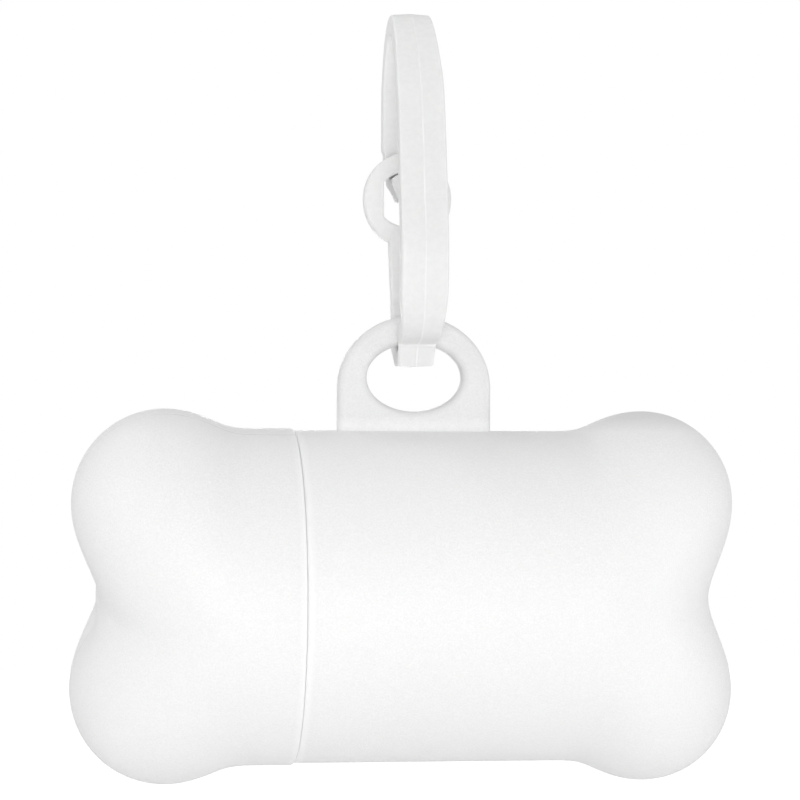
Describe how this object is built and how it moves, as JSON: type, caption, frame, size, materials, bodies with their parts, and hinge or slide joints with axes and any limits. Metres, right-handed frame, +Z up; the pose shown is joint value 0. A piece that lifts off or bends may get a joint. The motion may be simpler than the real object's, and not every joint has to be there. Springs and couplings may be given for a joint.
{
  "type": "dog poop bag dispenser",
  "caption": "Bone-shaped bag dispenser: a screw-apart plastic case with a roll of bags inside, hung by its eyelet tab from a plastic snap clip.",
  "frame": {"origin": "inside top of the clip's loop, where a leash carries the dispenser", "axes": "+Z up, along the hanging clip; X along the bone with the screw cap at -X; +Y to the back, where the bag slot is"},
  "size_m": [0.0802, 0.0404, 0.0934],
  "materials": {
    "case": "fine spark-eroded matte",
    "clip": "satin, slightly translucent",
    "core": "spiral-wound paperboard",
    "film": "thin wrinkled film"
  },
  "bodies": {
    "clip": {"clip_spine": "clip"},
    "latch": {"clip_latch": "clip"},
    "case": {"case_body": "case"},
    "core": {"roll_core": "core"},
    "cap": {"screw_cap": "case"},
    "film": {"bag_roll": "film"}
  },
  "joints": [
    {"name": "case_swing", "type": "hinge", "parent": "clip", "child": "case", "pos_m": [0, -0.0054, -0.036], "axis": [1, 0, 0], "range_deg": [-80, 80]},
    {"name": "latch_flex", "type": "hinge", "parent": "clip", "child": "latch", "pos_m": [0, -0.0007, -0.0314], "axis": [1, 0, 0], "range_deg": [0, 15], "stiffness_Nm_per_rad": 0.02},
    {"name": "cap_travel", "type": "slide", "parent": "case", "child": "core", "axis": [-1, 0, 0], "range_m": [0, 0.008]},
    {"name": "cap_turn", "type": "hinge", "parent": "core", "child": "cap", "pos_m": [-0.0008, -0.0054, -0.0682], "axis": [-1, 0, 0], "range_deg": [0, 180]},
    {"name": "roll_spin", "type": "hinge", "parent": "core", "child": "film", "pos_m": [-0.0008, -0.0054, -0.0682], "axis": [-1, 0, 0], "continuous": true}
  ],
  "couplings": [
    {"joint": "cap_travel", "follows": "cap_turn", "m_per_rad": 0.002546}
  ]
}
